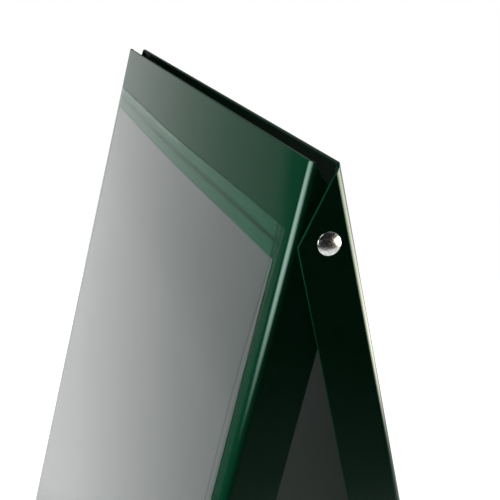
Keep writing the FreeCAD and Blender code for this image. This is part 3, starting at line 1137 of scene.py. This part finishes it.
def surround():
    """A world whose brightness falls towards the front and the right. To the eye it is white."""
    world = bpy.data.worlds.new("studio")
    bpy.context.scene.world = world
    world.use_nodes = True
    tree = world.node_tree
    backdrop = tree.nodes["Background"]
    backdrop.inputs["Color"].default_value = (1, 1, 1, 1)
    way = node(tree, "ShaderNodeTexCoord").outputs["Generated"]
    to_front = node(tree, "ShaderNodeVectorMath", operation="DOT_PRODUCT")
    to_front.inputs[1].default_value = TO_FRONT
    link(tree, way, to_front.inputs[0])
    fade = node(tree, "ShaderNodeValToRGB")
    place = node(tree, "ShaderNodeMapRange")
    place.inputs["From Min"].default_value = -1.0
    link(tree, to_front.outputs["Value"], place.inputs["Value"])
    link(tree, place.outputs["Result"], fade.inputs["Fac"])
    while len(fade.color_ramp.elements) < len(SURROUND):
        fade.color_ramp.elements.new(0.5)
    for element, (where, level) in zip(fade.color_ramp.elements, SURROUND):
        element.position = (where + 1) / 2
        element.color = (level, level, level, 1)
    across = node(tree, "ShaderNodeSeparateXYZ")
    link(tree, way, across.inputs["Vector"])
    right_side = change(tree, across.outputs["X"], *RIGHT_FADE, 1.0, DARK)
    front_side = change(tree, across.outputs["Y"], *FRONT_FADE, DARK, 1.0)
    level = calculate(tree, "MULTIPLY", fade.outputs["Color"], right_side)
    level = calculate(tree, "MULTIPLY", level, front_side)
    path = node(tree, "ShaderNodeLightPath")
    eye = to_the_eye(tree, path, ON_BACKDROP)
    seen = node(tree, "ShaderNodeMix", data_type="FLOAT")
    link(tree, eye, seen.inputs["Factor"])
    link(tree, level, seen.inputs["A"])
    seen.inputs["B"].default_value = 1.0
    link(tree, seen.outputs["Result"], backdrop.inputs["Strength"])


surround()

# %% [markdown]
# A lamp can light a surface without being mirrored in it, and the other way round. So there are two key lamps
# that only give light, and three soft boxes that are only seen in the gloss. Light linking keeps the soft
# boxes off the clear sheets and the posters. They are bright in the middle and fade towards their edges, and
# so do the long highlights that they make.

# %% Key lamps
def lamp_at(name, place, target, width, height, radiance, colour):
    lamp = bpy.data.lights.new(name, "AREA")
    lamp.shape = "RECTANGLE"
    lamp.size = width
    lamp.size_y = height
    lamp.energy = radiance * math.pi * width * height
    lamp.color = colour
    holder = bpy.data.objects.new(name, lamp)
    bpy.context.scene.collection.objects.link(holder)
    holder.location = place
    holder.rotation_euler = (Vector(target) - Vector(place)).to_track_quat("-Z", "Y").to_euler()
    holder.visible_camera = False
    return holder


def key_lamp(**lamp):
    holder = lamp_at(**lamp)
    holder.visible_glossy = False
    holder.visible_transmission = False


NEUTRAL = (1.0, 1.0, 1.0)
WARM = (1.0, 0.97, 0.84)
key_lamp(
    name="front_key",
    place=(0.1, -1.5, 0.85),
    target=(0.1, 0.0, 0.85),
    width=0.7,
    height=0.9,
    radiance=11.0,
    colour=NEUTRAL,
)
key_lamp(
    name="rear_key",
    place=(0.0, 1.45, 0.6),
    target=(0.0, 0.0, 0.6),
    width=0.6,
    height=0.8,
    radiance=8.0,
    colour=WARM,
)

# %% Pieces that mirror the soft boxes
mirrors = bpy.data.collections.new("mirrors")
for piece in bpy.context.scene.objects:
    if piece.type == "MESH" and piece.active_material not in (clear_film, clear_tape, poster_paper):
        mirrors.objects.link(piece)

# %% Soft boxes
def soft_box(across, upright, slant=0.0, **lamp):
    """A lamp for the mirrors only. It fades over a share of its width and height, and may stand aslant."""
    holder = lamp_at(**lamp)
    holder.visible_diffuse = False
    holder.light_linking.receiver_collection = mirrors
    holder.data.use_nodes = True
    tree = holder.data.node_tree
    spot = node(tree, "ShaderNodeSeparateXYZ")
    link(tree, node(tree, "ShaderNodeNewGeometry").outputs["Parametric"], spot.inputs["Vector"])
    slide = node(tree, "ShaderNodeMath", operation="MULTIPLY_ADD")
    slide.inputs[1].default_value = slant
    link(tree, spot.outputs["Y"], slide.inputs[0])
    link(tree, spot.outputs["X"], slide.inputs[2])
    fades = []
    for way, middle, share in (
        (slide.outputs["Value"], 0.5 + slant / 2, across),
        (spot.outputs["Y"], 0.5, upright),
    ):
        off = node(tree, "ShaderNodeMath", operation="SUBTRACT")
        off.inputs[1].default_value = middle
        link(tree, way, off.inputs[0])
        aside = calculate(tree, "ABSOLUTE", off.outputs["Value"])
        fades.append(change(tree, aside, 0.5 - share, 0.5, 1.0, 0.0))
    link(tree, calculate(tree, "MULTIPLY", *fades), tree.nodes["Emission"].inputs["Strength"])


PINK = (1.0, 0.85, 0.71)
soft_box(
    name="front_soft_box",
    place=(0.55, -1.46, 0.95),
    target=(0.31, 0.0, 0.95),
    width=2.45,
    height=1.04,
    radiance=9.5,
    colour=NEUTRAL,
    across=0.5,
    upright=0.45,
    slant=0.55,
)
soft_box(
    name="rear_soft_box",
    place=(0.62, 1.44, 0.68),
    target=(0.31, 0.0, 0.68),
    width=2.5,
    height=1.0,
    radiance=11.6,
    colour=PINK,
    across=0.47,
    upright=0.3,
    slant=0.5,
)
soft_box(
    name="top_soft_box",
    place=(0.45, -0.8, 1.85),
    target=(0.32, 0.0, 0.9),
    width=0.8,
    height=0.8,
    radiance=5.0,
    colour=NEUTRAL,
    across=0.2,
    upright=0.2,
)

# %% [markdown]
# ## The camera
# The view is a close one from the right, a little above the sign's top, with a long lens. It was solved from
# the picture's corners, so the place, turn and lens are simply written here.

# %% Camera
CAMERA_PLACE = (0.8389, -0.2017, 1.0762)
CAMERA_TURN = (72.415, -1.046, 73.674)
SENSOR_WIDTH = 36.0
FOCAL_LENGTH = 69.76
lens = bpy.data.cameras.new("view")
lens.sensor_width = SENSOR_WIDTH
lens.lens = FOCAL_LENGTH
camera = bpy.data.objects.new("view", lens)
bpy.context.scene.collection.objects.link(camera)
camera.location = CAMERA_PLACE
camera.rotation_euler = [math.radians(turn) for turn in CAMERA_TURN]
bpy.context.scene.camera = camera
bpy.context.scene.view_settings.view_transform = "Standard"
